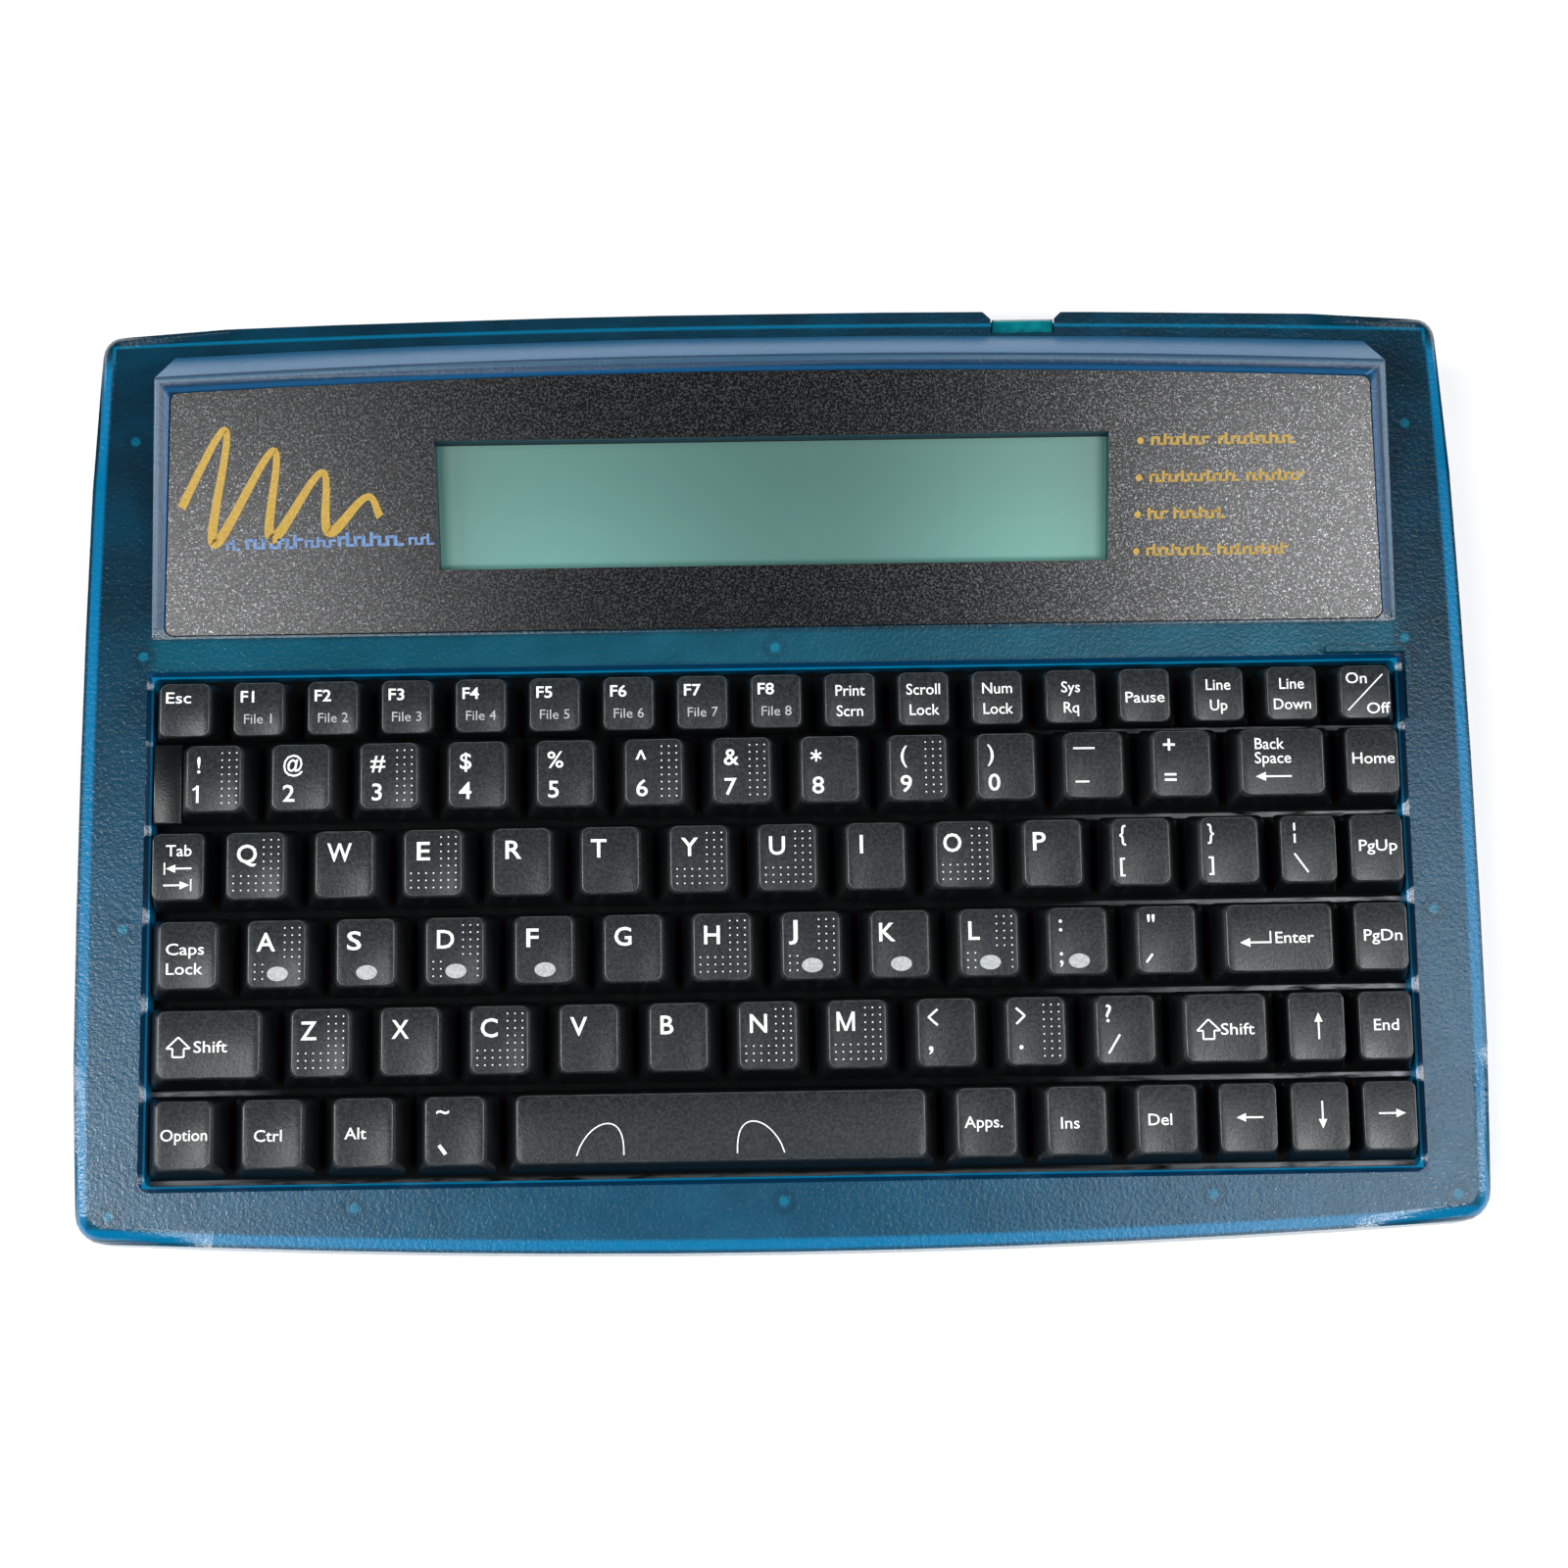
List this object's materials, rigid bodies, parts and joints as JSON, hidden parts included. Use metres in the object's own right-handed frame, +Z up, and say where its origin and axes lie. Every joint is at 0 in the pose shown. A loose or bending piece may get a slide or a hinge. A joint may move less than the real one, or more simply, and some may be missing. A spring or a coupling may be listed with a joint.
{
  "type": "electronic word processor",
  "caption": "Portable keyboard word processor: wedge-shaped translucent two-shell case, sloped hump with a wide display strip, full keyboard, rear sockets and a battery bay.",
  "frame": {"origin": "centre of the bounding box at its bottom, on the plane that the feet stand on", "axes": "+X to the typist's right, +Y from the front edge to the rear edge, +Z up; the keyboard deck is tipped up to the rear by 4 degrees"},
  "size_m": [0.3058, 0.2084, 0.0516],
  "materials": {
    "translucent_blue": "tinted translucent moulding, fine matt grain outside",
    "key_charcoal": null,
    "panel_black": "black overlay with a fine metallic grain",
    "lcd_green": "grey-green reflective liquid crystal glass",
    "frame_steel": "blackened pressed steel",
    "board_green": "glass-fibre circuit board with green resist",
    "bright_steel": "bright plated steel",
    "dome_rubber": "soft silicone rubber",
    "foot_rubber": "black rubber pads",
    "cell_wrap": "plain shrink sleeve with bare ends",
    "ir_clear": "clear blue-green window",
    "socket_black": "black socket moulding"
  },
  "bodies": {
    "housing": {"back_plate": "bright_steel", "battery_1": "cell_wrap", "battery_2": "cell_wrap", "battery_3": "cell_wrap", "battery_contacts": "bright_steel", "data_socket": "socket_black", "display_panel": "panel_black", "dome_sheet": "dome_rubber", "foot_front_left": "foot_rubber", "foot_front_right": "foot_rubber", "foot_rear_left": "foot_rubber", "foot_rear_right": "foot_rubber", "ir_window": "ir_clear", "key_frame": "key_charcoal", "lcd_board": "board_green", "lcd_frame": "frame_steel", "lcd_glass": "lcd_green", "lower_case": "translucent_blue", "main_board": "board_green", "power_jack": "socket_black", "screw_front_left": "bright_steel", "screw_front_right": "bright_steel", "screw_rear_left": "bright_steel", "screw_rear_right": "bright_steel", "upper_case": "translucent_blue"},
    "key_a_body": {"key_a": "key_charcoal"},
    "key_b_body": {"key_b": "key_charcoal"},
    "key_backspace_body": {"key_backspace": "key_charcoal"},
    "key_c_body": {"key_c": "key_charcoal"},
    "key_caps_lock_body": {"key_caps_lock": "key_charcoal"},
    "key_d_body": {"key_d": "key_charcoal"},
    "key_e_body": {"key_e": "key_charcoal"},
    "key_enter_body": {"key_enter": "key_charcoal"},
    "key_f_body": {"key_f": "key_charcoal"},
    "key_g_body": {"key_g": "key_charcoal"},
    "key_h_body": {"key_h": "key_charcoal"},
    "key_i_body": {"key_i": "key_charcoal"},
    "key_j_body": {"key_j": "key_charcoal"},
    "key_k_body": {"key_k": "key_charcoal"},
    "key_l_body": {"key_l": "key_charcoal"},
    "key_m_body": {"key_m": "key_charcoal"},
    "key_n_body": {"key_n": "key_charcoal"},
    "key_o_body": {"key_o": "key_charcoal"},
    "key_p_body": {"key_p": "key_charcoal"},
    "key_power_body": {"key_power": "key_charcoal"},
    "key_q_body": {"key_q": "key_charcoal"},
    "key_r_body": {"key_r": "key_charcoal"},
    "key_s_body": {"key_s": "key_charcoal"},
    "key_shift_left_body": {"key_shift_left": "key_charcoal"},
    "key_shift_right_body": {"key_shift_right": "key_charcoal"},
    "key_space_body": {"key_space": "key_charcoal"},
    "key_t_body": {"key_t": "key_charcoal"},
    "key_tab_body": {"key_tab": "key_charcoal"},
    "key_u_body": {"key_u": "key_charcoal"},
    "key_v_body": {"key_v": "key_charcoal"},
    "key_w_body": {"key_w": "key_charcoal"},
    "key_x_body": {"key_x": "key_charcoal"},
    "key_y_body": {"key_y": "key_charcoal"},
    "key_z_body": {"key_z": "key_charcoal"},
    "battery_door_body": {"battery_door": "translucent_blue"}
  },
  "joints": [
    {"name": "key_a_press", "type": "slide", "parent": "housing", "child": "key_a_body", "axis": [0, 0.0698, -0.9976], "range_m": [0, 0.003], "stiffness_N_per_m": 180, "springref_m": -0.0005, "deforming": ["dome_sheet"]},
    {"name": "key_b_press", "type": "slide", "parent": "housing", "child": "key_b_body", "axis": [0, 0.0698, -0.9976], "range_m": [0, 0.003], "stiffness_N_per_m": 180, "springref_m": -0.0005, "deforming": ["dome_sheet"]},
    {"name": "key_backspace_press", "type": "slide", "parent": "housing", "child": "key_backspace_body", "axis": [0, 0.0698, -0.9976], "range_m": [0, 0.003], "stiffness_N_per_m": 200, "springref_m": -0.0005, "deforming": ["dome_sheet"]},
    {"name": "key_c_press", "type": "slide", "parent": "housing", "child": "key_c_body", "axis": [0, 0.0698, -0.9976], "range_m": [0, 0.003], "stiffness_N_per_m": 180, "springref_m": -0.0005, "deforming": ["dome_sheet"]},
    {"name": "key_caps_lock_press", "type": "slide", "parent": "housing", "child": "key_caps_lock_body", "axis": [0, 0.0698, -0.9976], "range_m": [0, 0.003], "stiffness_N_per_m": 180, "springref_m": -0.0005, "deforming": ["dome_sheet"]},
    {"name": "key_d_press", "type": "slide", "parent": "housing", "child": "key_d_body", "axis": [0, 0.0698, -0.9976], "range_m": [0, 0.003], "stiffness_N_per_m": 180, "springref_m": -0.0005, "deforming": ["dome_sheet"]},
    {"name": "key_e_press", "type": "slide", "parent": "housing", "child": "key_e_body", "axis": [0, 0.0698, -0.9976], "range_m": [0, 0.003], "stiffness_N_per_m": 180, "springref_m": -0.0005, "deforming": ["dome_sheet"]},
    {"name": "key_enter_press", "type": "slide", "parent": "housing", "child": "key_enter_body", "axis": [0, 0.0698, -0.9976], "range_m": [0, 0.003], "stiffness_N_per_m": 200, "springref_m": -0.0005, "deforming": ["dome_sheet"]},
    {"name": "key_f_press", "type": "slide", "parent": "housing", "child": "key_f_body", "axis": [0, 0.0698, -0.9976], "range_m": [0, 0.003], "stiffness_N_per_m": 180, "springref_m": -0.0005, "deforming": ["dome_sheet"]},
    {"name": "key_g_press", "type": "slide", "parent": "housing", "child": "key_g_body", "axis": [0, 0.0698, -0.9976], "range_m": [0, 0.003], "stiffness_N_per_m": 180, "springref_m": -0.0005, "deforming": ["dome_sheet"]},
    {"name": "key_h_press", "type": "slide", "parent": "housing", "child": "key_h_body", "axis": [0, 0.0698, -0.9976], "range_m": [0, 0.003], "stiffness_N_per_m": 180, "springref_m": -0.0005, "deforming": ["dome_sheet"]},
    {"name": "key_i_press", "type": "slide", "parent": "housing", "child": "key_i_body", "axis": [0, 0.0698, -0.9976], "range_m": [0, 0.003], "stiffness_N_per_m": 180, "springref_m": -0.0005, "deforming": ["dome_sheet"]},
    {"name": "key_j_press", "type": "slide", "parent": "housing", "child": "key_j_body", "axis": [0, 0.0698, -0.9976], "range_m": [0, 0.003], "stiffness_N_per_m": 180, "springref_m": -0.0005, "deforming": ["dome_sheet"]},
    {"name": "key_k_press", "type": "slide", "parent": "housing", "child": "key_k_body", "axis": [0, 0.0698, -0.9976], "range_m": [0, 0.003], "stiffness_N_per_m": 180, "springref_m": -0.0005, "deforming": ["dome_sheet"]},
    {"name": "key_l_press", "type": "slide", "parent": "housing", "child": "key_l_body", "axis": [0, 0.0698, -0.9976], "range_m": [0, 0.003], "stiffness_N_per_m": 180, "springref_m": -0.0005, "deforming": ["dome_sheet"]},
    {"name": "key_m_press", "type": "slide", "parent": "housing", "child": "key_m_body", "axis": [0, 0.0698, -0.9976], "range_m": [0, 0.003], "stiffness_N_per_m": 180, "springref_m": -0.0005, "deforming": ["dome_sheet"]},
    {"name": "key_n_press", "type": "slide", "parent": "housing", "child": "key_n_body", "axis": [0, 0.0698, -0.9976], "range_m": [0, 0.003], "stiffness_N_per_m": 180, "springref_m": -0.0005, "deforming": ["dome_sheet"]},
    {"name": "key_o_press", "type": "slide", "parent": "housing", "child": "key_o_body", "axis": [0, 0.0698, -0.9976], "range_m": [0, 0.003], "stiffness_N_per_m": 180, "springref_m": -0.0005, "deforming": ["dome_sheet"]},
    {"name": "key_p_press", "type": "slide", "parent": "housing", "child": "key_p_body", "axis": [0, 0.0698, -0.9976], "range_m": [0, 0.003], "stiffness_N_per_m": 180, "springref_m": -0.0005, "deforming": ["dome_sheet"]},
    {"name": "key_power_press", "type": "slide", "parent": "housing", "child": "key_power_body", "axis": [0, 0.0698, -0.9976], "range_m": [0, 0.003], "stiffness_N_per_m": 180, "springref_m": -0.0005, "deforming": ["dome_sheet"]},
    {"name": "key_q_press", "type": "slide", "parent": "housing", "child": "key_q_body", "axis": [0, 0.0698, -0.9976], "range_m": [0, 0.003], "stiffness_N_per_m": 180, "springref_m": -0.0005, "deforming": ["dome_sheet"]},
    {"name": "key_r_press", "type": "slide", "parent": "housing", "child": "key_r_body", "axis": [0, 0.0698, -0.9976], "range_m": [0, 0.003], "stiffness_N_per_m": 180, "springref_m": -0.0005, "deforming": ["dome_sheet"]},
    {"name": "key_s_press", "type": "slide", "parent": "housing", "child": "key_s_body", "axis": [0, 0.0698, -0.9976], "range_m": [0, 0.003], "stiffness_N_per_m": 180, "springref_m": -0.0005, "deforming": ["dome_sheet"]},
    {"name": "key_shift_left_press", "type": "slide", "parent": "housing", "child": "key_shift_left_body", "axis": [0, 0.0698, -0.9976], "range_m": [0, 0.003], "stiffness_N_per_m": 200, "springref_m": -0.0005, "deforming": ["dome_sheet"]},
    {"name": "key_shift_right_press", "type": "slide", "parent": "housing", "child": "key_shift_right_body", "axis": [0, 0.0698, -0.9976], "range_m": [0, 0.003], "stiffness_N_per_m": 200, "springref_m": -0.0005, "deforming": ["dome_sheet"]},
    {"name": "key_space_press", "type": "slide", "parent": "housing", "child": "key_space_body", "axis": [0, 0.0698, -0.9976], "range_m": [0, 0.003], "stiffness_N_per_m": 260, "springref_m": -0.0005, "deforming": ["dome_sheet"]},
    {"name": "key_t_press", "type": "slide", "parent": "housing", "child": "key_t_body", "axis": [0, 0.0698, -0.9976], "range_m": [0, 0.003], "stiffness_N_per_m": 180, "springref_m": -0.0005, "deforming": ["dome_sheet"]},
    {"name": "key_tab_press", "type": "slide", "parent": "housing", "child": "key_tab_body", "axis": [0, 0.0698, -0.9976], "range_m": [0, 0.003], "stiffness_N_per_m": 180, "springref_m": -0.0005, "deforming": ["dome_sheet"]},
    {"name": "key_u_press", "type": "slide", "parent": "housing", "child": "key_u_body", "axis": [0, 0.0698, -0.9976], "range_m": [0, 0.003], "stiffness_N_per_m": 180, "springref_m": -0.0005, "deforming": ["dome_sheet"]},
    {"name": "key_v_press", "type": "slide", "parent": "housing", "child": "key_v_body", "axis": [0, 0.0698, -0.9976], "range_m": [0, 0.003], "stiffness_N_per_m": 180, "springref_m": -0.0005, "deforming": ["dome_sheet"]},
    {"name": "key_w_press", "type": "slide", "parent": "housing", "child": "key_w_body", "axis": [0, 0.0698, -0.9976], "range_m": [0, 0.003], "stiffness_N_per_m": 180, "springref_m": -0.0005, "deforming": ["dome_sheet"]},
    {"name": "key_x_press", "type": "slide", "parent": "housing", "child": "key_x_body", "axis": [0, 0.0698, -0.9976], "range_m": [0, 0.003], "stiffness_N_per_m": 180, "springref_m": -0.0005, "deforming": ["dome_sheet"]},
    {"name": "key_y_press", "type": "slide", "parent": "housing", "child": "key_y_body", "axis": [0, 0.0698, -0.9976], "range_m": [0, 0.003], "stiffness_N_per_m": 180, "springref_m": -0.0005, "deforming": ["dome_sheet"]},
    {"name": "key_z_press", "type": "slide", "parent": "housing", "child": "key_z_body", "axis": [0, 0.0698, -0.9976], "range_m": [0, 0.003], "stiffness_N_per_m": 180, "springref_m": -0.0005, "deforming": ["dome_sheet"]},
    {"name": "battery_door_hinge", "type": "hinge", "parent": "housing", "child": "battery_door_body", "pos_m": [-0.06, 0.04238, 0.0016], "axis": [-1, 0, 0], "range_deg": [0, 80]}
  ]
}
